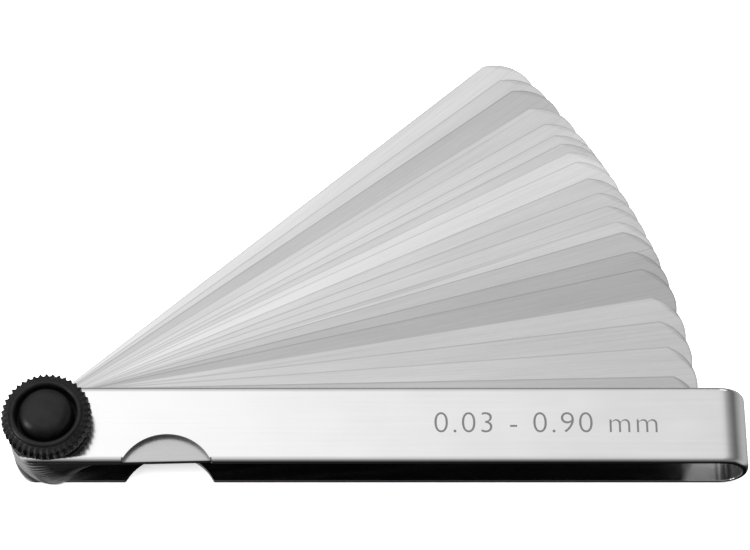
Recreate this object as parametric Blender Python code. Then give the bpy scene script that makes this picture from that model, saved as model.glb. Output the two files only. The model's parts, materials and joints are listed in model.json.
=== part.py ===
"""A locking feeler gauge: twenty loose steel blades between the leaves of a folded steel holder, on one
pivot stud, clamped by a black fluted knob.

Units are metres and degrees. +Z is the pivot axis, +X runs from the pivot to the holder's bend, and the
blades fan out towards +Y. The origin is on the pivot axis, in the outer face of the rear leaf.
"""

import math

import bmesh
import bpy
from mathutils import Matrix, Vector

MM = 0.001

# Holder: one strip folded into two leaves
LEAF_WIDTH = 12.5 * MM
STRIP_THICKNESS = 1.0 * MM
BEND_REACH = 107.0 * MM  # pivot to the outside of the bend
EDGE_ROUNDING = 0.35 * MM
NOTCH_RADIUS = 7.5 * MM
NOTCH_DEPTH = 4.5 * MM
NOTCH_FROM_PIVOT = 18.2 * MM

# Blades, the thinnest and furthest out first
BLADE_LENGTH = 100.0 * MM  # pivot to tip
BLADE_THICKNESSES = (
    [hundredths / 100 * MM for hundredths in range(3, 11)]
    + [hundredths / 100 * MM for hundredths in range(15, 51, 5)]
    + [hundredths / 100 * MM for hundredths in range(60, 91, 10)]
)
FAN_ANGLES = (
    41.5, 39.2, 37.5, 34.9, 32.6, 31.0, 29.8, 28.6, 27.3, 25.1,
    23.2, 21.5, 19.5, 18.1, 15.7, 13.6, 10.3, 7.5, 4.6, 1.3,
)
ROOT_REACH = 6.3 * MM  # pivot to the root end, on the blades and on both leaves
ROOT_SAGITTA = 3.0 * MM  # how far the arc of the end bulges
ROOT_CORNER = 3.0 * MM
TIP_SAGITTA = 3.9 * MM
TIP_CORNER = 0.5 * MM
PACK_GAP = 0.03 * MM  # between neighbours in the pack of blades

# Pivot stud and its holes
STUD_RADIUS = 2.0 * MM
STUD_HEAD_RADIUS = 3.0 * MM
STUD_ABOVE_LEAF = 3.35 * MM
RUNNING_CLEARANCE = 0.09 * MM
STAKED_CLEARANCE = 0.04 * MM

# Washer, insert and knob, with heights above the front leaf
WASHER_RADIUS = 4.5 * MM
WASHER_THICKNESS = 0.40 * MM
KNOB_FOOT = 0.46 * MM
INSERT_RADIUS = 2.85 * MM
INSERT_HEIGHT = 3.00 * MM
POCKET_CLEARANCE = 0.05 * MM
FLUTES = 43
FLUTE_RIDGE_RADIUS = 6.86 * MM
FLUTE_VALLEY_RADIUS = 6.44 * MM

PACK_HEIGHT = sum(BLADE_THICKNESSES) + (len(BLADE_THICKNESSES) + 1) * PACK_GAP
HOLDER_HEIGHT = PACK_HEIGHT + 2 * STRIP_THICKNESS
HALF_WIDTH = LEAF_WIDTH / 2
BEND_OUTER_RADIUS = HOLDER_HEIGHT / 2
BEND_INNER_RADIUS = BEND_OUTER_RADIUS - STRIP_THICKNESS
BEND_START = BEND_REACH - BEND_OUTER_RADIUS
BEND_MEAN_RADIUS = BEND_OUTER_RADIUS - STRIP_THICKNESS / 2
BEND_LENGTH = math.pi * BEND_MEAN_RADIUS
STRIP_LENGTH = 2 * BEND_START + BEND_LENGTH  # between the two pivot holes, along the strip

END_STEPS = 12
CORNER_STEPS = 4
NOTCH_STEPS = 14
BEND_STEPS = 24
ROUND_STEPS = 32
SHARP_ANGLE = math.radians(35)


def clear_scene():
    for obj in list(bpy.data.objects):
        bpy.data.objects.remove(obj, do_unlink=True)


def make_material(name, colour, roughness, metallic):
    material = bpy.data.materials.new(name)
    material.use_nodes = True
    shader = material.node_tree.nodes["Principled BSDF"]
    shader.inputs["Base Color"].default_value = (*colour, 1.0)
    shader.inputs["Roughness"].default_value = roughness
    shader.inputs["Metallic"].default_value = metallic
    material.diffuse_color = (*colour, 1.0)
    return material


def holder_material():
    return make_material("nickel_plated_strip", (0.80, 0.80, 0.79), 0.22, 1.0)


def blade_material(name):
    return make_material(f"{name}_steel", (0.62, 0.63, 0.64), 0.34, 1.0)


def stud_material():
    return make_material("stud_steel", (0.55, 0.55, 0.56), 0.30, 1.0)


def washer_material():
    return make_material("washer_steel", (0.60, 0.60, 0.61), 0.32, 1.0)


def insert_material():
    return make_material("insert_brass", (0.72, 0.52, 0.22), 0.30, 1.0)


def knob_material():
    return make_material("knob_black_plastic", (0.018, 0.018, 0.019), 0.38, 0.0)


def make_object(name, bm, material, parent=None):
    """Turns a bmesh into a named object that is smooth except at its sharp edges."""
    bmesh.ops.recalc_face_normals(bm, faces=bm.faces)
    mesh = bpy.data.meshes.new(name)
    bm.to_mesh(mesh)
    bm.free()
    mesh.shade_smooth()
    mesh.set_sharp_from_angle(angle=SHARP_ANGLE)
    mesh.materials.append(material)
    obj = bpy.data.objects.new(name, mesh)
    bpy.context.scene.collection.objects.link(obj)
    obj.parent = parent
    return obj


def make_empty(name, location=(0.0, 0.0, 0.0), parent=None):
    empty = bpy.data.objects.new(name, None)
    empty.location = location
    empty.empty_display_size = 5 * MM
    empty.parent = parent
    bpy.context.scene.collection.objects.link(empty)
    return empty


def arc(centre, radius, start, end, steps):
    """Points on an arc, both ends included, with angles in radians."""
    points = []
    for step in range(steps + 1):
        angle = start + (end - start) * step / steps
        points.append((centre[0] + radius * math.cos(angle), centre[1] + radius * math.sin(angle)))
    return points


def end_arc(apex, sagitta, corner):
    """The bulging end of a leaf or blade whose furthest point is at u = apex, on its +u side, from the
    near long edge to the far one, with its corners rounded."""
    radius = (HALF_WIDTH**2 + sagitta**2) / (2 * sagitta)
    inset = HALF_WIDTH - corner
    half_angle = math.asin(inset / (radius - corner))
    corner_u = apex - radius + (radius - corner) * math.cos(half_angle)
    upright = math.pi / 2
    points = arc((corner_u, -inset), corner, -upright, -half_angle, CORNER_STEPS)
    points += arc((apex - radius, 0.0), radius, -half_angle, half_angle, END_STEPS)[1:-1]
    points += arc((corner_u, inset), corner, half_angle, upright, CORNER_STEPS)
    return points


def root_end(apex):
    """A leaf's or blade's pivot end, facing -u, from the far long edge to the near one."""
    return [(2 * apex - u, -v) for u, v in end_arc(apex, ROOT_SAGITTA, ROOT_CORNER)]


def notch_arc(middle):
    """A thumb notch in the near edge, at v = -HALF_WIDTH, in the +u direction."""
    centre = (middle, -HALF_WIDTH - NOTCH_RADIUS + NOTCH_DEPTH)
    half_angle = math.acos((NOTCH_RADIUS - NOTCH_DEPTH) / NOTCH_RADIUS)
    upright = math.pi / 2
    return arc(centre, NOTCH_RADIUS, upright + half_angle, upright - half_angle, NOTCH_STEPS)


def extruded_outline(points, thickness):
    """A flat slab with this outline, from n = 0 to n = thickness."""
    bm = bmesh.new()
    base = bm.faces.new([bm.verts.new((u, v, 0.0)) for u, v in points])
    raised = bmesh.ops.extrude_face_region(bm, geom=[base])
    top_verts = [item for item in raised["geom"] if isinstance(item, bmesh.types.BMVert)]
    bmesh.ops.translate(bm, vec=(0.0, 0.0, thickness), verts=top_verts)
    bmesh.ops.recalc_face_normals(bm, faces=bm.faces)
    return bm


def round_long_edges(bm):
    """Rounds the edges between the slab's two flat faces and its sides."""
    flat_faces = [face for face in bm.faces if abs(face.normal.z) > 0.9]
    rims = {edge for face in flat_faces for edge in face.edges}
    bmesh.ops.bevel(
        bm,
        geom=list(rims),
        offset=EDGE_ROUNDING,
        offset_type="OFFSET",
        segments=3,
        profile=0.5,
        affect="EDGES",
        clamp_overlap=True,
    )


def cut_across(bm, u):
    """Adds a line of vertices across the strip at u, for the bend to turn on."""
    geometry = bm.verts[:] + bm.edges[:] + bm.faces[:]
    bmesh.ops.bisect_plane(bm, geom=geometry, plane_co=(u, 0.0, 0.0), plane_no=(1.0, 0.0, 0.0))


def folded(point):
    """Where a point (u, v, n) of the flat strip goes: u along the strip from the front pivot hole, v
    across it, n from its inner face to its outer face."""
    u, v, n = point
    if u <= BEND_START:
        return Vector((u, v, HOLDER_HEIGHT - STRIP_THICKNESS + n))
    if u >= BEND_START + BEND_LENGTH:
        return Vector((STRIP_LENGTH - u, v, STRIP_THICKNESS - n))
    turn = (u - BEND_START) / BEND_MEAN_RADIUS
    radius = BEND_INNER_RADIUS + n
    return Vector((BEND_START + radius * math.sin(turn), v, BEND_OUTER_RADIUS + radius * math.cos(turn)))


def ring_solid(profile, steps):
    """A closed solid turned about +Z from a closed loop of (radius, z) points."""
    bm = bmesh.new()
    rings = []
    for radius, z in profile:
        ring = []
        for step in range(steps):
            angle = 2 * math.pi * step / steps
            ring.append(bm.verts.new((radius * math.cos(angle), radius * math.sin(angle), z)))
        rings.append(ring)
    for lower, upper in zip(rings, rings[1:] + rings[:1]):
        for step in range(steps):
            after = (step + 1) % steps
            bm.faces.new((lower[step], lower[after], upper[after], upper[step]))
    return bm


def pole_solid(rings, bottom_z, top_z):
    """A closed solid from stacked rings of points, closed by a fan of triangles to a point on the axis at
    each end."""
    bm = bmesh.new()
    levels = [[bm.verts.new(point) for point in ring] for ring in rings]
    count = len(levels[0])
    for lower, upper in zip(levels, levels[1:]):
        for step in range(count):
            after = (step + 1) % count
            bm.faces.new((lower[step], lower[after], upper[after], upper[step]))
    for level, z in ((levels[0], bottom_z), (levels[-1], top_z)):
        pole = bm.verts.new((0.0, 0.0, z))
        for step in range(count):
            bm.faces.new((level[step], level[(step + 1) % count], pole))
    return bm


def circle(radius, z, steps):
    ring = arc((0.0, 0.0), radius, 0.0, 2 * math.pi, steps)[:-1]
    return [(x, y, z) for x, y in ring]


def make_cutter(name, rings, target):
    """A round cutter between the first and the last ring, which a Boolean takes out of the target."""
    bm = pole_solid(rings, rings[0][0][2], rings[-1][0][2])
    cutter = make_object(name, bm, target.data.materials[0])
    cutter.hide_render = True
    cutter.display_type = "WIRE"
    cut = target.modifiers.new(name, "BOOLEAN")
    cut.operation = "DIFFERENCE"
    cut.solver = "EXACT"
    cut.object = cutter


def build_holder():
    """The strip is drawn flat, its edges are rounded, and it is folded round the bend."""
    outline = root_end(-ROOT_REACH)
    outline += notch_arc(NOTCH_FROM_PIVOT)
    outline += notch_arc(STRIP_LENGTH - NOTCH_FROM_PIVOT)
    outline += end_arc(STRIP_LENGTH + ROOT_REACH, ROOT_SAGITTA, ROOT_CORNER)
    bm = extruded_outline(outline, STRIP_THICKNESS)
    round_long_edges(bm)
    for step in range(BEND_STEPS + 1):
        cut_across(bm, BEND_START + BEND_LENGTH * step / BEND_STEPS)
    for vert in bm.verts:
        vert.co = folded(vert.co)
    holder = make_object("holder", bm, holder_material())
    overshoot = STRIP_THICKNESS / 2
    hole = STUD_RADIUS + RUNNING_CLEARANCE
    front = HOLDER_HEIGHT - STRIP_THICKNESS
    make_cutter(
        "front_pivot_hole",
        [circle(hole, front - overshoot, ROUND_STEPS), circle(hole, HOLDER_HEIGHT + overshoot, ROUND_STEPS)],
        holder,
    )
    countersink = [
        circle(stud_head_radius(z) + STAKED_CLEARANCE, z, ROUND_STEPS)
        for z in (-overshoot, STRIP_THICKNESS + overshoot)
    ]
    make_cutter("rear_countersink", countersink, holder)
    return holder


def stud_head_radius(z):
    """The radius of the stud's conical head at this height, carried on past both faces of the leaf."""
    return STUD_HEAD_RADIUS + (STUD_RADIUS - STUD_HEAD_RADIUS) * z / STRIP_THICKNESS


def build_stud():
    tip_chamfer = 0.4 * MM
    top = HOLDER_HEIGHT + STUD_ABOVE_LEAF
    rings = [
        circle(STUD_HEAD_RADIUS, 0.0, ROUND_STEPS),
        circle(STUD_RADIUS, STRIP_THICKNESS, ROUND_STEPS),
        circle(STUD_RADIUS, top - tip_chamfer, ROUND_STEPS),
        circle(STUD_RADIUS - tip_chamfer, top, ROUND_STEPS),
    ]
    return make_object("pivot_stud", pole_solid(rings, 0.0, top), stud_material())


def blade_name(thickness):
    return f"blade_{thickness / MM:.2f}mm".replace(".", "_")


def blade_mesh(thickness):
    """A straight blade with a bulging tip, a bulging root and a pivot hole at the origin."""
    outline = root_end(-ROOT_REACH) + end_arc(BLADE_LENGTH, TIP_SAGITTA, TIP_CORNER)
    hole = arc((0.0, 0.0), STUD_RADIUS + RUNNING_CLEARANCE, 0.0, 2 * math.pi, ROUND_STEPS)[:-1]
    bm = bmesh.new()
    edges = []
    for loop in (outline, hole):
        verts = [bm.verts.new((u, v, 0.0)) for u, v in loop]
        edges += [bm.edges.new((first, second)) for first, second in zip(verts, verts[1:] + verts[:1])]
    filled = bmesh.ops.triangle_fill(bm, use_beauty=True, edges=edges)
    faces = [item for item in filled["geom"] if isinstance(item, bmesh.types.BMFace)]
    raised = bmesh.ops.extrude_face_region(bm, geom=faces)
    top_verts = [item for item in raised["geom"] if isinstance(item, bmesh.types.BMVert)]
    bmesh.ops.translate(bm, vec=(0.0, 0.0, thickness), verts=top_verts)
    return bm


def build_blades(pivot):
    """The pack, from the rear leaf up, each blade swung out by its own angle."""
    z = STRIP_THICKNESS + PACK_GAP
    for thickness, angle in zip(BLADE_THICKNESSES, FAN_ANGLES):
        name = blade_name(thickness)
        blade = make_object(name, blade_mesh(thickness), blade_material(name), pivot)
        blade.location = (0.0, 0.0, z)
        blade.rotation_euler = (0.0, 0.0, math.radians(angle))
        z += thickness + PACK_GAP


def build_washer(knob_axis):
    inner = STUD_RADIUS + RUNNING_CLEARANCE
    edge_break = 0.06 * MM
    bottom = PACK_GAP
    top = bottom + WASHER_THICKNESS
    profile = [
        (inner, bottom),
        (WASHER_RADIUS - edge_break, bottom),
        (WASHER_RADIUS, bottom + edge_break),
        (WASHER_RADIUS, top - edge_break),
        (WASHER_RADIUS - edge_break, top),
        (inner, top),
    ]
    return make_object("clamp_washer", ring_solid(profile, ROUND_STEPS), washer_material(), knob_axis)


def build_insert(knob_axis):
    inner = STUD_RADIUS + RUNNING_CLEARANCE
    bottom = KNOB_FOOT
    top = bottom + INSERT_HEIGHT
    groove = 0.25 * MM
    middle = (bottom + top) / 2
    profile = [
        (inner, bottom),
        (INSERT_RADIUS, bottom),
        (INSERT_RADIUS, middle - groove),
        (INSERT_RADIUS - groove, middle - groove),
        (INSERT_RADIUS - groove, middle + groove),
        (INSERT_RADIUS, middle + groove),
        (INSERT_RADIUS, top),
        (inner, top),
    ]
    return make_object("knob_insert", ring_solid(profile, ROUND_STEPS), insert_material(), knob_axis)


def fluted_ring(z):
    """A ring at this height that goes out to each ridge of the flutes and in to each valley."""
    ring = []
    for step in range(2 * FLUTES):
        radius = FLUTE_VALLEY_RADIUS if step % 2 else FLUTE_RIDGE_RADIUS
        angle = math.pi * step / FLUTES
        ring.append((radius * math.cos(angle), radius * math.sin(angle), z))
    return ring


def build_knob(knob_axis):
    """Rings from the top of the blind insert pocket, down and out round the foot, up the flutes, over the
    raised rim, down into the recess and up to the crown of the centre boss, with heights in millimetres."""
    steps = 2 * FLUTES
    pocket = INSERT_RADIUS + POCKET_CLEARANCE
    pocket_top = KNOB_FOOT + INSERT_HEIGHT + POCKET_CLEARANCE
    foot = [(6.18, 0.46), (6.30, 0.58), (6.30, 1.25)]
    flute_heights = (1.55 * MM, 3.45 * MM)
    rim = [(5.94, 3.72), (5.68, 3.88), (5.46, 4.04), (5.14, 4.12), (4.84, 4.04), (4.66, 3.80)]
    recess = [(4.60, 1.60), (4.14, 1.60)]
    boss = [(4.10, 3.75), (4.02, 4.23), (3.77, 4.65), (3.40, 4.96), (2.90, 5.14), (1.45, 5.29)]
    crown = 5.34 * MM
    rings = [circle(pocket, pocket_top, steps), circle(pocket, KNOB_FOOT, steps)]
    rings += [circle(radius * MM, z * MM, steps) for radius, z in foot]
    rings += [fluted_ring(z) for z in flute_heights]
    rings += [circle(radius * MM, z * MM, steps) for radius, z in rim + recess + boss]
    bm = pole_solid(rings, pocket_top, crown)
    return make_object("knob", bm, knob_material(), knob_axis)


def main():
    clear_scene()
    pivot = make_empty("pivot_axis")
    knob_axis = make_empty("knob_axis", (0.0, 0.0, HOLDER_HEIGHT), pivot)
    build_holder()
    build_stud()
    build_blades(pivot)
    build_washer(knob_axis)
    build_insert(knob_axis)
    build_knob(knob_axis)


main()
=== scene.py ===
"""The looks of a feeler gauge: twenty ground steel blades fanned out of a folded, plated holder and clamped
by a black fluted knob.

Units are metres in the row frame: +Z is the pivot axis, +X runs from the pivot to the holder's bend, and
the blades fan out towards +Y.
"""

import json
import math

import bmesh
import bpy
from mathutils import Matrix, Vector

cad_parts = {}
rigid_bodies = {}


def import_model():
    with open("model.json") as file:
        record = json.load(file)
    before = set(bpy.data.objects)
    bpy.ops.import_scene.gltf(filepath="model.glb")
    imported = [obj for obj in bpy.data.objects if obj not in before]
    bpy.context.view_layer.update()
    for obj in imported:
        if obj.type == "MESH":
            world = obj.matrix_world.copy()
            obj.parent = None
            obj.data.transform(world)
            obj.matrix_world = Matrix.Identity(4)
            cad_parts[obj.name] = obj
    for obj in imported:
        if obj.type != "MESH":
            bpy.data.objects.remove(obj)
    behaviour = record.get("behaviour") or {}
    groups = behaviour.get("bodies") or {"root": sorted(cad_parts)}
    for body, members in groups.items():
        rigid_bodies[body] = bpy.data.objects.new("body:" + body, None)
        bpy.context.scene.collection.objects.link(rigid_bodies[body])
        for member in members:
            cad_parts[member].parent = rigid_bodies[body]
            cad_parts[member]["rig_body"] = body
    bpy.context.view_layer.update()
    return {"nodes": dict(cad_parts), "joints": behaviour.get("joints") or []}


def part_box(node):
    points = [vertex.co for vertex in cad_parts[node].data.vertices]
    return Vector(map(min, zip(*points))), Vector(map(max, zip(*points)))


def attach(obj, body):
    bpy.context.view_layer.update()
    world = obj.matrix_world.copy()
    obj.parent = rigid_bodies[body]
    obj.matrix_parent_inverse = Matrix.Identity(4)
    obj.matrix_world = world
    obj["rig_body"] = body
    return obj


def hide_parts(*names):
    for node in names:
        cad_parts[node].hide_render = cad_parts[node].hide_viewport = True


MM = 0.001

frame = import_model()

# Camera, at the photograph's angle
CAMERA_ELEVATION = math.radians(62.9)
CAMERA_DISTANCE = 440.0 * MM
CAMERA_TARGET = Vector((49.86, 29.93, 0.0)) * MM
CAMERA_LENS = 131.7  # millimetres, as the sensor width is
CAMERA_SENSOR = 36.0

# Holder: one strip folded into two leaves
HOLDER_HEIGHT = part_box("holder")[1].z
BEND_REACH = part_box("holder")[1].x
HALF_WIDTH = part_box("holder")[1].y
STRIP_THICKNESS = 1.0 * MM
ROLLED_EDGE_WIDTH = 0.95 * MM  # how far each long edge falls away on the strip's outer face
ROLLED_EDGE_DEPTH = 0.6 * MM
INNER_EDGE_ROUNDING = 0.12 * MM
NOTCH_WALL_SHADE = 0.85  # how much painted shade darkens the walls of the notches
NOTCH_RADIUS = 7.5 * MM
NOTCH_DEPTH = 4.5 * MM
NOTCH_FROM_PIVOT = 18.2 * MM
ROOT_REACH = 6.3 * MM
ROOT_SAGITTA = 3.0 * MM
ROOT_CORNER = 3.0 * MM
BEND_OUTER_RADIUS = HOLDER_HEIGHT / 2
BEND_INNER_RADIUS = BEND_OUTER_RADIUS - STRIP_THICKNESS
BEND_MEAN_RADIUS = BEND_OUTER_RADIUS - STRIP_THICKNESS / 2
BEND_START = BEND_REACH - BEND_OUTER_RADIUS
BEND_LENGTH = math.pi * BEND_MEAN_RADIUS
STRIP_LENGTH = 2 * BEND_START + BEND_LENGTH

# The range of the set, etched in the front leaf
RANGE_MARK = "0.03 - 0.90 mm"
RANGE_MARK_PLACE = Vector((76.0, 0.0, 0.0)) * MM
RANGE_MARK_SIZE = 5.0 * MM
RANGE_MARK_THINNING = 0.07 * MM
RANGE_MARK_SPACING = 1.12
ETCH_DEPTH = 0.03 * MM

# Blades
BLADE_LENGTH = 100.0 * MM
TIP_SAGITTA = 3.9 * MM
TIP_CORNER = 0.5 * MM
BLADE_RIM_ROUNDING = 0.012 * MM
INNER_SHADE_REACH = 98.0 * MM  # how far from the pivot the leaves' inner faces get painted shade, where the blades lie between them
# the share of painted shade on those inner faces
INNER_SHADE = 0.75
BLADE_TONES = {
    "blade_0_03mm": 0.79,
    "blade_0_04mm": 0.72,
    "blade_0_05mm": 0.58,
    "blade_0_06mm": 0.70,
    "blade_0_07mm": 0.75,
    "blade_0_08mm": 0.73,
    "blade_0_09mm": 0.69,
    "blade_0_10mm": 0.80,
    "blade_0_15mm": 0.81,
    "blade_0_20mm": 0.70,
    "blade_0_25mm": 0.69,
    "blade_0_30mm": 0.69,
    "blade_0_35mm": 0.72,
    "blade_0_40mm": 0.60,
    "blade_0_45mm": 0.52,
    "blade_0_50mm": 0.50,
    "blade_0_60mm": 0.65,
    "blade_0_70mm": 0.64,
    "blade_0_80mm": 0.66,
    "blade_0_90mm": 0.56,
}

# Stud, washer and knob, with heights above the front leaf
STUD_RADIUS = 2.0 * MM
STUD_HEAD_RADIUS = 3.0 * MM
STUD_ABOVE_LEAF = 3.35 * MM
RUNNING_CLEARANCE = 0.09 * MM
STAKED_CLEARANCE = 0.04 * MM
THREAD_PITCH = 0.7 * MM
THREAD_DEPTH = 0.38 * MM
WASHER_RADIUS = 4.5 * MM
WASHER_BOTTOM = 0.03 * MM
WASHER_TOP = 0.43 * MM
FLUTES = 43
STEPS_PER_FLUTE = 12
FLUTE_DEPTH = 0.42 * MM
KNOB_CROWN = 5.33  # millimetres above the front leaf

# Soft light: the studio's brightness against how far a direction is from the overhead softbox
SOFTBOX_DIRECTION = Vector((-0.35, 0.35, 0.87)).normalized()
STUDIO_PEAK = 1.5
FLOOR_GLOW = 0.5
FRONT_SHARE = 0.04  # what is left of the brightness low in front of the gauge, where the room is dark
RAISED_FRONT_SHARE = 1.0  # and what is left of it higher up there
STUDIO_RAMP = (
    (-1.00, 0.00), (-0.80, 0.05), (-0.66, 0.50), (-0.45, 0.50), (-0.25, 0.40),
    (-0.03, 0.26), (0.12, 0.14), (0.29, 0.18), (0.43, 0.26), (0.60, 0.42),
    (0.77, 0.73), (0.89, 0.77), (0.93, 0.95), (0.965, 1.20), (1.00, 1.40),
)

FLOOR_LIGHT_ENERGY = 4.0
FLOOR_LIGHT_SPREAD = math.radians(60)

# Area lights: name, place, width, height and energy
SOFTBOXES = (
    ("left_softbox", (-0.52, -0.16, 0.22), 0.16, 0.40, 1.5),
    ("rear_softbox", (0.30, 0.48, 0.26), 0.20, 0.16, 0.12),
)

# How finely the shapes are divided
END_STEPS = 40
CORNER_STEPS = 16
NOTCH_STEPS = 48
BEND_STEPS = 72
ROUND_STEPS = 96
ROUNDING_STEPS = 6
SHARP_ANGLE = math.radians(35)


# Shader nodes


def add_node(tree, kind, sockets=None, **settings):
    """Adds a shader node. Each named socket gets a value, or reads another node's output."""
    node = tree.nodes.new(kind)
    for name, value in settings.items():
        setattr(node, name, value)
    for name, value in (sockets or {}).items():
        if isinstance(value, bpy.types.NodeSocket):
            tree.links.new(value, node.inputs[name])
        else:
            node.inputs[name].default_value = value
    return node


def new_material(name, metallic, roughness):
    """A material with its node tree and its shader."""
    material = bpy.data.materials.new(name)
    material.use_nodes = True
    tree = material.node_tree
    shader = tree.nodes["Principled BSDF"]
    shader.inputs["Metallic"].default_value = metallic
    shader.inputs["Roughness"].default_value = roughness
    return material, tree, shader


def noise(tree, coordinates, scale, offset=0.0, detail=3.0):
    """Noise that varies this many times a metre along each axis, from about 0 to 1."""
    placed = add_node(
        tree,
        "ShaderNodeMapping",
        {"Vector": coordinates, "Location": (offset, 1.7 * offset, 0.0), "Scale": scale},
    )
    texture = add_node(
        tree,
        "ShaderNodeTexNoise",
        {"Vector": placed.outputs["Vector"], "Scale": 1.0, "Detail": detail, "Roughness": 0.6},
    )
    return texture.outputs["Fac"]


def spread(tree, value, low, high, source=(0.3, 0.7)):
    """The value moved from its source range to the range from low to high."""
    mapped = add_node(
        tree,
        "ShaderNodeMapRange",
        {"Value": value, "From Min": source[0], "From Max": source[1], "To Min": low, "To Max": high},
    )
    return mapped.outputs["Result"]


def maths(tree, operation, first, second):
    """The result of an operation on two values, each a number or another node's output."""
    node = tree.nodes.new("ShaderNodeMath")
    node.operation = operation
    for socket, value in zip(node.inputs, (first, second)):
        if isinstance(value, bpy.types.NodeSocket):
            tree.links.new(value, socket)
        else:
            socket.default_value = value
    return node.outputs["Value"]


def product(tree, first, *others):
    """All the values multiplied together."""
    for other in others:
        first = maths(tree, "MULTIPLY", first, other)
    return first


def shaded(tree, tone, share):
    """The tone made darker by this share of itself."""
    return maths(tree, "MULTIPLY", tone, maths(tree, "SUBTRACT", 1.0, share))


def distance(tree, value, place):
    """How far a value is from a place on its own axis."""
    return maths(tree, "ABSOLUTE", maths(tree, "SUBTRACT", value, place), 0.0)


def grey(tree, value):
    """A grey of this brightness."""
    colour = add_node(tree, "ShaderNodeCombineColor", {"Red": value, "Green": value, "Blue": value})
    return colour.outputs["Color"]


def bump(tree, height, depth):
    """The surface normal roughened by a height from 0 to 1, this many metres deep."""
    node = add_node(tree, "ShaderNodeBump", {"Strength": 1.0, "Distance": depth, "Height": height})
    return node.outputs["Normal"]


def object_coordinates(tree):
    return tree.nodes.new("ShaderNodeTexCoord").outputs["Object"]


def strip_place(tree):
    """Where the point lies on its strip or blade, lengthwise first."""
    return add_node(tree, "ShaderNodeAttribute", attribute_name="strip").outputs["Vector"]


# Materials


def painted_inner_shade(tree, from_middle, n):
    """How much painted shade darkens the leaves' inner faces between them, up to where the blades reach."""
    inner_face = spread(tree, n, 1.0, 0.0, (0.02 * MM, 0.10 * MM))
    start = STRIP_LENGTH / 2 - INNER_SHADE_REACH
    return product(tree, inner_face, spread(tree, from_middle, 0.0, INNER_SHADE, (start, start + 1.0 * MM)))


def painted_notch_shade(tree, from_middle, v, n):
    """How much painted shade darkens the walls of the two thumb notches."""
    half_chord = math.sqrt(NOTCH_RADIUS**2 - (NOTCH_RADIUS - NOTCH_DEPTH) ** 2)
    from_notch = distance(tree, from_middle, STRIP_LENGTH / 2 - NOTCH_FROM_PIVOT)
    beside_notch = maths(tree, "LESS_THAN", from_notch, half_chord)
    near_side = maths(tree, "LESS_THAN", v, 0.0)
    from_core = distance(tree, n, STRIP_THICKNESS / 2)
    wall = spread(tree, from_core, NOTCH_WALL_SHADE, 0.0, (0.45 * MM, 0.49 * MM))
    return product(tree, beside_notch, near_side, wall)


def plated_material():
    """Bright nickel plate over a strip that was rolled along its length."""
    material, tree, shader = new_material("nickel_plated_strip", 1.0, 0.2)
    along = strip_place(tree)
    rolled = noise(tree, along, (30.0, 2200.0, 300.0))
    handled = noise(tree, along, (90.0, 140.0, 90.0), offset=3.0, detail=2.0)
    u, v, n = add_node(tree, "ShaderNodeSeparateXYZ", {"Vector": along}).outputs
    from_middle = distance(tree, u, STRIP_LENGTH / 2)
    tone = product(tree, spread(tree, rolled, 0.965, 1.0), spread(tree, handled, 0.84, 0.88))
    # painted shade: the inner faces between the leaves are darkened where the blades lie
    tone = shaded(tree, tone, painted_inner_shade(tree, from_middle, n))
    # painted shade on the walls of the two thumb notches
    tone = shaded(tree, tone, painted_notch_shade(tree, from_middle, v, n))
    tree.links.new(grey(tree, tone), shader.inputs["Base Color"])
    gloss = maths(tree, "ADD", spread(tree, rolled, 0.15, 0.19), spread(tree, handled, -0.015, 0.035))
    tree.links.new(gloss, shader.inputs["Roughness"])
    tree.links.new(bump(tree, rolled, 0.6e-6), shader.inputs["Normal"])
    return material


def etched_material():
    """The matt grey floor of an etched mark."""
    material, tree, shader = new_material("etched_mark", 1.0, 0.5)
    grain = noise(tree, object_coordinates(tree), (9000.0, 9000.0, 9000.0))
    tree.links.new(grey(tree, spread(tree, grain, 0.26, 0.36)), shader.inputs["Base Color"])
    tree.links.new(bump(tree, grain, 8e-6), shader.inputs["Normal"])
    return material


def edge_distance(tree, coordinates):
    """How far a point of a blade is from its nearest long edge or from its tip."""
    axes = add_node(tree, "ShaderNodeSeparateXYZ", {"Vector": coordinates})
    side = maths(tree, "SUBTRACT", HALF_WIDTH, maths(tree, "ABSOLUTE", axes.outputs["Y"], 0.0))
    radius = end_radius(TIP_SAGITTA)
    from_centre = add_node(tree, "ShaderNodeVectorMath", operation="DISTANCE")
    tree.links.new(coordinates, from_centre.inputs[0])
    from_centre.inputs[1].default_value = (BLADE_LENGTH - radius, 0.0, 0.0)
    tip = maths(tree, "SUBTRACT", radius, from_centre.outputs["Value"])
    behind_tip = maths(tree, "LESS_THAN", axes.outputs["X"], BLADE_LENGTH - TIP_SAGITTA)
    tip = maths(tree, "ADD", tip, behind_tip)
    return maths(tree, "MINIMUM", side, tip)


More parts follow.
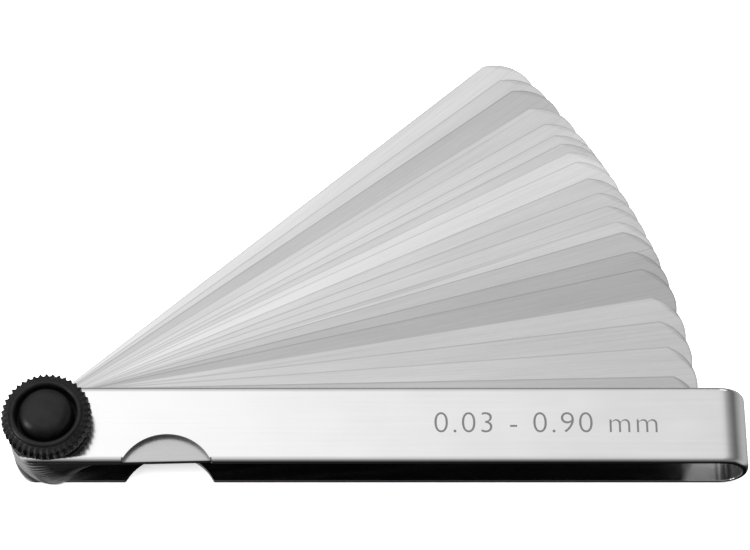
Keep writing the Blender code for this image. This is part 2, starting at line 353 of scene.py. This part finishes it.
def blade_material(name, tone, seed):
    """Spring steel ground along the blade, with its own brightness and its own streaks, and painted shade
    along its long edges and round its tip.
    """
    material, tree, shader = new_material(f"{name}_ground_steel", 1.0, 0.3)
    place = strip_place(tree)
    streaks = noise(tree, place, (45.0, 2600.0, 0.0), offset=seed, detail=4.0)
    grain = noise(tree, place, (420.0, 9000.0, 0.0), offset=seed + 5.0, detail=2.0)
    cloud = noise(tree, place, (26.0, 190.0, 0.0), offset=seed + 9.0, detail=2.0)
    scratches = noise(tree, place, (9.0, 1300.0, 0.0), offset=seed + 13.0, detail=1.0)
    level = product(
        tree,
        spread(tree, streaks, 0.93, 1.05),
        spread(tree, cloud, 0.95, 1.05),
        spread(tree, grain, 0.97, 1.03),
        spread(tree, scratches, 0.86, 1.0, (0.27, 0.34)),
        # painted shade along the long edges and round the tip
        spread(tree, edge_distance(tree, place), 0.74, 1.0, (0.02 * MM, 0.28 * MM)),
        tone,
    )
    tree.links.new(grey(tree, level), shader.inputs["Base Color"])
    tree.links.new(spread(tree, streaks, 0.26, 0.36), shader.inputs["Roughness"])
    height = maths(tree, "ADD", streaks, maths(tree, "MULTIPLY", grain, 0.4))
    tree.links.new(bump(tree, height, 1.2e-6), shader.inputs["Normal"])
    return material


def turned_material(name, tone, roughness):
    """Metal turned or stamped round the pivot axis, with fine rings."""
    material, tree, shader = new_material(name, 1.0, roughness)
    place = object_coordinates(tree)
    axes = add_node(tree, "ShaderNodeSeparateXYZ", {"Vector": place})
    flat = add_node(tree, "ShaderNodeCombineXYZ", {"X": axes.outputs["X"], "Y": axes.outputs["Y"]})
    from_axis = add_node(tree, "ShaderNodeVectorMath", operation="LENGTH")
    tree.links.new(flat.outputs["Vector"], from_axis.inputs[0])
    turned = add_node(
        tree, "ShaderNodeCombineXYZ", {"X": from_axis.outputs["Value"], "Z": axes.outputs["Z"]}
    )
    rings = noise(tree, turned.outputs["Vector"], (9000.0, 1.0, 9000.0), detail=2.0)
    stains = noise(tree, place, (500.0, 500.0, 500.0), offset=2.0)
    shade = product(tree, spread(tree, rings, 0.9, 1.05), spread(tree, stains, 0.88, 1.04))
    tinted = add_node(tree, "ShaderNodeMix", {"Factor": 1.0}, data_type="RGBA", blend_type="MULTIPLY")
    tree.links.new(grey(tree, shade), tinted.inputs[6])
    tinted.inputs[7].default_value = (*tone, 1.0)
    tree.links.new(tinted.outputs[2], shader.inputs["Base Color"])
    tree.links.new(spread(tree, stains, roughness - 0.04, roughness + 0.08), shader.inputs["Roughness"])
    tree.links.new(bump(tree, rings, 1.5e-6), shader.inputs["Normal"])
    return material


def plastic_material():
    """Black moulded plastic with a fine, slightly worn skin."""
    material, tree, shader = new_material("knob_black_plastic", 0.0, 0.36)
    shader.inputs["Specular IOR Level"].default_value = 0.25
    place = object_coordinates(tree)
    skin = noise(tree, place, (4200.0, 4200.0, 4200.0))
    wear = noise(tree, place, (420.0, 420.0, 420.0), offset=4.0, detail=4.0)
    tree.links.new(grey(tree, spread(tree, wear, 0.003, 0.007)), shader.inputs["Base Color"])
    gloss = maths(tree, "ADD", spread(tree, wear, 0.30, 0.42), spread(tree, skin, -0.03, 0.03))
    tree.links.new(gloss, shader.inputs["Roughness"])
    tree.links.new(bump(tree, skin, 9e-6), shader.inputs["Normal"])
    return material


def floor_material():
    material, tree, shader = new_material("pale_floor", 0.0, 0.9)
    shader.inputs["Specular IOR Level"].default_value = 0.0
    mottle = noise(tree, object_coordinates(tree), (3.0, 3.0, 3.0))
    pale = grey(tree, spread(tree, mottle, 0.90, 0.92))
    tree.links.new(pale, shader.inputs["Base Color"])
    tree.links.new(pale, shader.inputs["Emission Color"])
    shader.inputs["Emission Strength"].default_value = FLOOR_GLOW
    return material


# Meshes


def arc(centre, radius, start, end, steps):
    """Points on an arc, both ends included, with angles in radians."""
    points = []
    for step in range(steps + 1):
        angle = start + (end - start) * step / steps
        points.append((centre[0] + radius * math.cos(angle), centre[1] + radius * math.sin(angle)))
    return points


def end_radius(sagitta):
    """The radius of the arc that closes a leaf or blade, from how far it bulges."""
    return (HALF_WIDTH**2 + sagitta**2) / (2 * sagitta)


def end_arc(apex, sagitta, corner):
    """The bulging end whose furthest point is at u = apex, on its +u side, from the near long edge to the
    far one, with its corners rounded."""
    radius = end_radius(sagitta)
    inset = HALF_WIDTH - corner
    half_angle = math.asin(inset / (radius - corner))
    corner_u = apex - radius + (radius - corner) * math.cos(half_angle)
    upright = math.pi / 2
    points = arc((corner_u, -inset), corner, -upright, -half_angle, CORNER_STEPS)
    points += arc((apex - radius, 0.0), radius, -half_angle, half_angle, END_STEPS)[1:-1]
    points += arc((corner_u, inset), corner, half_angle, upright, CORNER_STEPS)
    return points


def root_end(apex):
    """A leaf's or blade's pivot end, facing -u, from the far long edge to the near one."""
    return [(2 * apex - u, -v) for u, v in end_arc(apex, ROOT_SAGITTA, ROOT_CORNER)]


def notch_arc(middle):
    """A thumb notch in the near edge, in the +u direction."""
    centre = (middle, -HALF_WIDTH - NOTCH_RADIUS + NOTCH_DEPTH)
    half_angle = math.acos((NOTCH_RADIUS - NOTCH_DEPTH) / NOTCH_RADIUS)
    upright = math.pi / 2
    return arc(centre, NOTCH_RADIUS, upright + half_angle, upright - half_angle, NOTCH_STEPS)


def circle(radius, z, steps):
    """A ring of points round the pivot axis."""
    return [(x, y, z) for x, y in arc((0.0, 0.0), radius, 0.0, 2 * math.pi, steps)[:-1]]


def slab(loops, thickness):
    """A flat slab from z = 0 to z = thickness with this outline, and with any further loops as holes."""
    bm = bmesh.new()
    edges = []
    for loop in loops:
        verts = [bm.verts.new((u, v, 0.0)) for u, v in loop]
        edges += [bm.edges.new(pair) for pair in zip(verts, verts[1:] + verts[:1])]
    if len(loops) == 1:
        faces = [bm.faces.new(bm.verts)]
    else:
        filled = bmesh.ops.triangle_fill(bm, use_beauty=True, edges=edges)
        faces = [item for item in filled["geom"] if isinstance(item, bmesh.types.BMFace)]
    raised = bmesh.ops.extrude_face_region(bm, geom=faces)
    top_verts = [item for item in raised["geom"] if isinstance(item, bmesh.types.BMVert)]
    bmesh.ops.translate(bm, vec=(0.0, 0.0, thickness), verts=top_verts)
    bmesh.ops.recalc_face_normals(bm, faces=bm.faces)
    return bm


def round_rims(bm, reach, steps):
    """Rounds the edges between a slab's flat faces and its sides."""
    rims = [edge for edge in bm.edges if is_rim(edge)]
    bmesh.ops.bevel(
        bm,
        geom=rims,
        offset=reach,
        offset_type="OFFSET",
        segments=steps,
        profile=0.5,
        affect="EDGES",
        clamp_overlap=True,
    )


def is_rim(edge):
    """Whether an edge lies between a flat face and a side."""
    flat = [abs(face.normal.z) > 0.9 for face in edge.link_faces]
    return len(flat) == 2 and flat[0] != flat[1]


def stacked(rings, bottom_z, top_z):
    """A closed solid from stacked rings of points, closed by a fan of triangles at each end."""
    bm = bmesh.new()
    levels = [[bm.verts.new(point) for point in ring] for ring in rings]
    count = len(levels[0])
    for lower, upper in zip(levels, levels[1:]):
        for step in range(count):
            after = (step + 1) % count
            bm.faces.new((lower[step], lower[after], upper[after], upper[step]))
    for level, z in ((levels[0], bottom_z), (levels[-1], top_z)):
        pole = bm.verts.new((0.0, 0.0, z))
        for step in range(count):
            bm.faces.new((level[step], level[(step + 1) % count], pole))
    return bm


def looped(profile, steps):
    """A closed solid turned about the pivot axis from a closed loop of (radius, z) points."""
    bm = bmesh.new()
    rings = [[bm.verts.new(point) for point in circle(radius, z, steps)] for radius, z in profile]
    for lower, upper in zip(rings, rings[1:] + rings[:1]):
        for step in range(steps):
            after = (step + 1) % steps
            bm.faces.new((lower[step], lower[after], upper[after], upper[step]))
    return bm


def finished_mesh(name, bm, material):
    """A mesh from a bmesh, smooth except at its sharp edges."""
    bmesh.ops.recalc_face_normals(bm, faces=bm.faces)
    mesh = bpy.data.meshes.new(name)
    bm.to_mesh(mesh)
    bm.free()
    mesh.materials.append(material)
    smooth(mesh)
    return mesh


def smooth(mesh):
    mesh.shade_smooth()
    mesh.set_sharp_from_angle(angle=SHARP_ANGLE)


def add_object(name, mesh):
    obj = bpy.data.objects.new(name, mesh)
    bpy.context.scene.collection.objects.link(obj)
    return obj


def add_piece(name, mesh, node):
    """A visible piece that stands for a CAD node and rides on its body, with the node hidden."""
    piece = add_object(name, mesh)
    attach(piece, frame["nodes"][node]["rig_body"])
    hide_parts(node)
    return piece


def keep_strip_place(mesh, place):
    """Stores where each vertex lies on its strip or blade, lengthwise first, for the material to read."""
    strip = mesh.attributes.new("strip", "FLOAT_VECTOR", "POINT")
    for vert in mesh.vertices:
        strip.data[vert.index].vector = place(vert.co)


def flatten_shading(piece):
    """Lets large flat faces set the shading of the vertices that they share with rounded edges."""
    weighted = piece.modifiers.new("flat_faces_first", "WEIGHTED_NORMAL")
    weighted.mode = "FACE_AREA"
    weighted.keep_sharp = True


# Holder


def folded(point):
    """Where a point (u, v, n) of the flat strip goes: u along the strip from the front pivot hole, v
    across it, n from its inner face to its outer face."""
    u, v, n = point
    if u <= BEND_START:
        return Vector((u, v, HOLDER_HEIGHT - STRIP_THICKNESS + n))
    if u >= BEND_START + BEND_LENGTH:
        return Vector((STRIP_LENGTH - u, v, STRIP_THICKNESS - n))
    turn = (u - BEND_START) / BEND_MEAN_RADIUS
    radius = BEND_INNER_RADIUS + n
    return Vector((BEND_START + radius * math.sin(turn), v, BEND_OUTER_RADIUS + radius * math.cos(turn)))


def unfolded(point):
    """Where a point of the holder lies on the flat strip, as (u, v, n)."""
    x, y, z = point
    if x > BEND_START:
        turn = math.atan2(x - BEND_START, z - BEND_OUTER_RADIUS)
        radius = math.hypot(x - BEND_START, z - BEND_OUTER_RADIUS)
        return (BEND_START + turn * BEND_MEAN_RADIUS, y, radius - BEND_INNER_RADIUS)
    if z > BEND_OUTER_RADIUS:
        return (x, y, z - HOLDER_HEIGHT + STRIP_THICKNESS)
    return (STRIP_LENGTH - x, y, STRIP_THICKNESS - z)


def combine(target, mesh, operation):
    """Takes a closed mesh out of the target, or keeps what they share, and applies the Boolean."""
    other = add_object("other", mesh)
    modifier = target.modifiers.new("combine", "BOOLEAN")
    modifier.operation = operation
    modifier.solver = "EXACT"
    modifier.object = other
    bpy.context.view_layer.update()
    evaluated = target.evaluated_get(bpy.context.evaluated_depsgraph_get())
    result = bpy.data.meshes.new_from_object(evaluated)
    target.modifiers.clear()
    target.data = result
    bpy.data.objects.remove(other)


def rolled_bar():
    """The strip as it comes from the mill: a long bar whose long edges fall away on its outer face."""
    section = arc(
        (INNER_EDGE_ROUNDING - HALF_WIDTH, INNER_EDGE_ROUNDING),
        INNER_EDGE_ROUNDING,
        -math.pi / 2,
        -math.pi,
        ROUNDING_STEPS,
    )
    for v, n in arc((1.0, 0.0), 1.0, math.pi, math.pi / 2, 2 * ROUNDING_STEPS):
        fall = ROLLED_EDGE_DEPTH * (1.0 - n)
        section.append((ROLLED_EDGE_WIDTH * v - HALF_WIDTH, STRIP_THICKNESS - fall))
    section += [(-v, n) for v, n in reversed(section)]
    over = 2 * ROOT_REACH
    bm = bmesh.new()
    ends = [[bm.verts.new((u, v, n)) for v, n in section] for u in (-over, STRIP_LENGTH + over)]
    for step in range(len(section)):
        after = (step + 1) % len(section)
        bm.faces.new((ends[0][step], ends[0][after], ends[1][after], ends[1][step]))
    for end in ends:
        bm.faces.new(end)
    return bm


def carried_out(piece):
    """A piece of the blanked outline with its two ends carried out past the long edge."""
    past = HALF_WIDTH + 0.5 * MM
    (first_u, first_v), (last_u, last_v) = piece[0], piece[-1]
    return [(first_u, math.copysign(past, first_v))] + piece + [(last_u, math.copysign(past, last_v))]


def blank_outline():
    """What the press leaves of the bar: two round ends and two thumb notches."""
    outline = carried_out(root_end(-ROOT_REACH))
    outline += carried_out(notch_arc(NOTCH_FROM_PIVOT))
    outline += carried_out(notch_arc(STRIP_LENGTH - NOTCH_FROM_PIVOT))
    outline += carried_out(end_arc(STRIP_LENGTH + ROOT_REACH, ROOT_SAGITTA, ROOT_CORNER))
    return outline


def stud_head_radius(z):
    """The radius of the stud's conical head at this height, carried on past both faces of the leaf."""
    return STUD_HEAD_RADIUS + (STUD_RADIUS - STUD_HEAD_RADIUS) * z / STRIP_THICKNESS


def range_mark_mesh(material):
    """The etched range as a closed mesh that reaches just below the front leaf's face."""
    text = bpy.data.curves.new("range_mark", "FONT")
    text.body = RANGE_MARK
    text.size = RANGE_MARK_SIZE
    text.align_x = "CENTER"
    text.align_y = "CENTER"
    text.extrude = ETCH_DEPTH
    text.offset = -RANGE_MARK_THINNING
    text.space_character = RANGE_MARK_SPACING
    text.resolution_u = 6
    letters = add_object("range_mark", text)
    letters.location = RANGE_MARK_PLACE + Vector((0.0, 0.0, HOLDER_HEIGHT))
    bpy.context.view_layer.update()
    evaluated = letters.evaluated_get(bpy.context.evaluated_depsgraph_get())
    mesh = bpy.data.meshes.new_from_object(evaluated)
    mesh.transform(letters.matrix_world)
    bpy.data.objects.remove(letters)
    bm = bmesh.new()
    bm.from_mesh(mesh)
    bmesh.ops.remove_doubles(bm, verts=bm.verts, dist=1e-7)
    bmesh.ops.recalc_face_normals(bm, faces=bm.faces)
    bm.to_mesh(mesh)
    bm.free()
    mesh.materials.clear()
    mesh.materials.append(material)
    return mesh


def is_etched(polygon):
    """Whether a face of the holder is the floor of the etched mark."""
    height = HOLDER_HEIGHT - polygon.center.z
    on_flat = polygon.center.x < BEND_START and abs(polygon.center.y) < HALF_WIDTH - ROLLED_EDGE_WIDTH
    on_leaf = on_flat and polygon.normal.z > 0.9
    return on_leaf and 0.2 * ETCH_DEPTH < height < 1.5 * ETCH_DEPTH


def fold(mesh):
    """Folds the flat strip round the bend."""
    bm = bmesh.new()
    bm.from_mesh(mesh)
    for step in range(BEND_STEPS + 1):
        geometry = bm.verts[:] + bm.edges[:] + bm.faces[:]
        place = (BEND_START + BEND_LENGTH * step / BEND_STEPS, 0.0, 0.0)
        bmesh.ops.bisect_plane(bm, geom=geometry, plane_co=place, plane_no=(1.0, 0.0, 0.0))
    for vert in bm.verts:
        vert.co = folded(vert.co)
    bmesh.ops.recalc_face_normals(bm, faces=bm.faces)
    bm.to_mesh(mesh)
    bm.free()


def build_holder():
    plated = plated_material()
    etched = etched_material()
    over = STRIP_THICKNESS / 2
    holder = add_object("holder_strip", finished_mesh("holder_strip", rolled_bar(), plated))
    blank = slab([blank_outline()], STRIP_THICKNESS + 2 * over)
    bmesh.ops.translate(blank, vec=(0.0, 0.0, -over), verts=blank.verts)
    combine(holder, finished_mesh("blank", blank, plated), "INTERSECT")
    fold(holder.data)
    hole = STUD_RADIUS + RUNNING_CLEARANCE
    front = HOLDER_HEIGHT - STRIP_THICKNESS
    hole_rings = [circle(hole, z, ROUND_STEPS) for z in (front - over, HOLDER_HEIGHT + over)]
    sink_rings = [
        circle(stud_head_radius(z) + STAKED_CLEARANCE, z, ROUND_STEPS)
        for z in (-over, STRIP_THICKNESS + over)
    ]
    for rings in (hole_rings, sink_rings):
        cutter = stacked(rings, rings[0][0][2], rings[-1][0][2])
        combine(holder, finished_mesh("cutter", cutter, plated), "DIFFERENCE")
    combine(holder, range_mark_mesh(plated), "DIFFERENCE")
    mesh = holder.data
    mesh.materials.clear()
    mesh.materials.append(plated)
    mesh.materials.append(etched)
    smooth(mesh)
    keep_strip_place(mesh, unfolded)
    for polygon in mesh.polygons:
        polygon.material_index = 1 if is_etched(polygon) else 0
    flatten_shading(holder)
    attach(holder, "holder")
    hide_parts("holder")


# Blades


def blade_angle(node):
    """How far the blade is swung out at rest, from its joint, whose lower limit is home in the holder."""
    joint = next(joint for joint in frame["joints"] if joint["child"] == node)
    return -math.radians(joint["range_deg"][0])


def build_blades():
    outline = root_end(-ROOT_REACH) + end_arc(BLADE_LENGTH, TIP_SAGITTA, TIP_CORNER)
    hole = arc((0.0, 0.0), STUD_RADIUS + RUNNING_CLEARANCE, 0.0, 2 * math.pi, ROUND_STEPS)[:-1]
    for index, (node, tone) in enumerate(BLADE_TONES.items()):
        low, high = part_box(node)
        thickness = high.z - low.z
        bm = slab([outline, hole], thickness)
        round_rims(bm, min(BLADE_RIM_ROUNDING, thickness / 4), 2)
        material = blade_material(node, tone, 17.0 * index)
        mesh = finished_mesh(f"{node}_ground", bm, material)
        keep_strip_place(mesh, lambda point: point)
        swing = Matrix.Rotation(blade_angle(node), 4, "Z")
        mesh.transform(Matrix.Translation((0.0, 0.0, low.z)) @ swing)
        piece = add_piece(f"{node}_ground", mesh, node)
        flatten_shading(piece)


# Stud, washer, insert and knob


def build_stud():
    """A countersunk head staked in the rear leaf, a plain shank through the pack and a thread above it."""
    thread_start = HOLDER_HEIGHT - 0.8 * MM
    top = HOLDER_HEIGHT + STUD_ABOVE_LEAF
    chamfer = 0.4 * MM
    rings = [
        circle(STUD_HEAD_RADIUS - 0.03 * MM, 0.0, ROUND_STEPS),
        circle(STUD_HEAD_RADIUS, 0.03 * MM, ROUND_STEPS),
        circle(STUD_RADIUS, STRIP_THICKNESS, ROUND_STEPS),
        circle(STUD_RADIUS, thread_start, ROUND_STEPS),
    ]
    steps = 72
    for step in range(1, steps + 1):
        z = thread_start + (top - thread_start) * step / steps
        fade = min(1.0, (z - thread_start) / THREAD_PITCH)
        crest = min(STUD_RADIUS, STUD_RADIUS + (top - z) - chamfer)
        ring = []
        for x, y, _ in circle(1.0, 0.0, ROUND_STEPS):
            turn = (z / THREAD_PITCH - math.atan2(y, x) / (2 * math.pi)) % 1.0
            groove = THREAD_DEPTH * fade * max(0.0, 1.0 - abs(2 * turn - 1.0) * 1.25)
            radius = min(crest, STUD_RADIUS - groove)
            ring.append((radius * x, radius * y, z))
        rings.append(ring)
    steel = turned_material("stud_turned_steel", (0.55, 0.55, 0.56), 0.30)
    mesh = finished_mesh("stud_threaded", stacked(rings, 0.0, top), steel)
    add_piece("stud_threaded", mesh, "pivot_stud")


def build_washer():
    inner = STUD_RADIUS + RUNNING_CLEARANCE
    bottom = HOLDER_HEIGHT + WASHER_BOTTOM
    top = HOLDER_HEIGHT + WASHER_TOP
    edge = 0.10 * MM
    corner = WASHER_RADIUS - edge
    profile = [(inner + edge / 2, bottom)]
    profile += arc((corner, bottom + edge), edge, -math.pi / 2, 0.0, ROUNDING_STEPS)
    profile += arc((corner, top - edge), edge, 0.0, math.pi / 2, ROUNDING_STEPS)
    profile += [(inner + edge / 2, top), (inner, top - edge / 2), (inner, bottom + edge / 2)]
    steel = turned_material("washer_stamped_steel", (0.60, 0.60, 0.61), 0.32)
    mesh = finished_mesh("washer_stamped", looped(profile, ROUND_STEPS), steel)
    add_piece("washer_stamped", mesh, "clamp_washer")


def finish_insert():
    """The brass insert is hidden in the knob, so its CAD solid stays and gets its metal."""
    insert = frame["nodes"]["knob_insert"]
    insert.data.materials.clear()
    insert.data.materials.append(turned_material("insert_turned_brass", (0.72, 0.52, 0.22), 0.30))


def knob_profile():
    """The knob's section from its insert pocket, down and out round its foot, up the flutes, over the rim,
    down into the recess and up to the crown, as (radius, z, share of the flutes' depth) in millimetres."""
    points = [(2.90, 3.51, 0.0), (2.90, 0.50, 0.0), (2.94, 0.46, 0.0), (6.12, 0.46, 0.0)]
    points += [(6.22, 0.49, 0.0), (6.28, 0.56, 0.0), (6.30, 0.66, 0.0), (6.30, 1.18, 0.0)]
    scoop_steps = 8
    for step in range(scoop_steps + 1):
        rise = step / scoop_steps
        points.append((6.31 + 0.54 * rise**0.5, 1.22 + 0.45 * rise, math.sin(rise * math.pi / 2)))
    points += [(6.86, 1.90, 1.0), (6.86, 3.12, 1.0), (6.85, 3.26, 1.0), (6.79, 3.37, 1.0)]
    slope_steps = 10
    for step in range(slope_steps + 1):
        rise = step / slope_steps
        points.append((6.70 - 0.98 * rise, 3.43 + 0.31 * rise, 0.95 * (1.0 - rise**1.5)))
    bead = arc((5.15, 3.61), 0.51, math.radians(14), math.radians(176), 20)
    points += [(radius, z, 0.0) for radius, z in bead]
    points += [(4.63, 3.30, 0.0), (4.60, 1.80, 0.0), (4.56, 1.66, 0.0), (4.48, 1.60, 0.0)]
    points += [(4.26, 1.60, 0.0), (4.17, 1.66, 0.0), (4.13, 1.80, 0.0), (4.10, 3.30, 0.0)]
    fillet = arc((2.30, 3.35), 1.80, math.radians(2), math.radians(82), 20)
    points += [(radius, z, 0.0) for radius, z in fillet]
    crown_steps = 12
    edge_radius, edge_z, _ = points[-1]
    for step in range(1, crown_steps):
        radius = edge_radius * (1 - step / crown_steps)
        z = KNOB_CROWN - (KNOB_CROWN - edge_z) * (radius / edge_radius) ** 2
        points.append((radius, z, 0.0))
    return points


def build_knob():
    count = FLUTES * STEPS_PER_FLUTE
    rings = []
    for radius, z, share in knob_profile():
        ring = []
        for step in range(count):
            across = 2 * (step % STEPS_PER_FLUTE) / STEPS_PER_FLUTE - 1
            valley = math.cos(across * math.pi / 2) ** 1.2
            reach = radius * MM - FLUTE_DEPTH * share * valley
            angle = 2 * math.pi * step / count
            ring.append((reach * math.cos(angle), reach * math.sin(angle), HOLDER_HEIGHT + z * MM))
        rings.append(ring)
    bm = stacked(rings, rings[0][0][2], HOLDER_HEIGHT + KNOB_CROWN * MM)
    mesh = finished_mesh("knob_moulded", bm, plastic_material())
    add_piece("knob_moulded", mesh, "knob")


# Stage


def build_floor():
    """A plain floor just under the rear leaf."""
    bm = bmesh.new()
    corners = [(-2.0, -2.0), (2.0, -2.0), (2.0, 2.0), (-2.0, 2.0)]
    bm.faces.new([bm.verts.new((x, y, -0.05 * MM)) for x, y in corners])
    floor = add_object("floor", finished_mesh("floor", bm, floor_material()))
    floor.visible_glossy = False


def build_studio():
    """The soft surroundings: a bright overhead softbox that fades towards the horizon. They are dark low in
    front of the gauge."""
    world = bpy.data.worlds.new("studio")
    world.use_nodes = True
    bpy.context.scene.world = world
    tree = world.node_tree
    direction = tree.nodes.new("ShaderNodeTexCoord").outputs["Generated"]
    toward = add_node(tree, "ShaderNodeVectorMath", operation="DOT_PRODUCT")
    tree.links.new(direction, toward.inputs[0])
    toward.inputs[1].default_value = SOFTBOX_DIRECTION
    along = spread(tree, toward.outputs["Value"], 0.0, 1.0, (-1.0, 1.0))
    ramp = add_node(tree, "ShaderNodeValToRGB", {"Fac": along})
    stops = ramp.color_ramp.elements
    while len(stops) < len(STUDIO_RAMP):
        stops.new(1.0)
    for stop, (place, brightness) in zip(stops, STUDIO_RAMP):
        level = brightness / STUDIO_PEAK
        stop.position = (place + 1) / 2
        stop.color = (level, level, level, 1.0)
    axes = add_node(tree, "ShaderNodeSeparateXYZ", {"Vector": direction})
    front = spread(tree, axes.outputs["Y"], FRONT_SHARE, 1.0, (-0.75, -0.30))
    raised = spread(tree, axes.outputs["Z"], 0.0, RAISED_FRONT_SHARE, (0.20, 0.50))
    front = maths(tree, "MAXIMUM", front, raised)
    background = tree.nodes["Background"]
    tree.links.new(ramp.outputs["Color"], background.inputs["Color"])
    tree.links.new(maths(tree, "MULTIPLY", front, STUDIO_PEAK), background.inputs["Strength"])


def aim(obj, target):
    direction = Vector(target) - obj.location
    obj.rotation_euler = direction.to_track_quat("-Z", "Y").to_euler()


def build_lights():
    """Softboxes low on the left and behind, and an even overhead light that whitens the floor."""
    for name, place, width, height, energy in SOFTBOXES:
        data = bpy.data.lights.new(name, "AREA")
        data.shape = "RECTANGLE"
        data.size = width
        data.size_y = height
        data.energy = energy
        softbox = add_object(name, data)
        softbox.location = place
        aim(softbox, (0.0, 0.0, HOLDER_HEIGHT))
    even = bpy.data.lights.new("floor_light", "SUN")
    even.angle = FLOOR_LIGHT_SPREAD
    even.energy = FLOOR_LIGHT_ENERGY
    overhead = add_object("floor_light", even)
    overhead.location = (0.0, 0.0, 1.0)
    overhead.visible_glossy = False


def build_camera():
    data = bpy.data.cameras.new("photo_camera")
    data.lens = CAMERA_LENS
    data.sensor_width = CAMERA_SENSOR
    data.clip_start = 0.01
    data.clip_end = 10.0
    camera = add_object("photo_camera", data)
    back = Vector((0.0, -math.cos(CAMERA_ELEVATION), math.sin(CAMERA_ELEVATION)))
    camera.location = CAMERA_TARGET + back * CAMERA_DISTANCE
    camera.rotation_euler = (math.pi / 2 - CAMERA_ELEVATION, 0.0, 0.0)
    bpy.context.scene.camera = camera


build_holder()
build_blades()
build_stud()
build_washer()
finish_insert()
build_knob()
build_floor()
build_studio()
build_lights()
build_camera()
bpy.context.scene.view_settings.view_transform = "Standard"
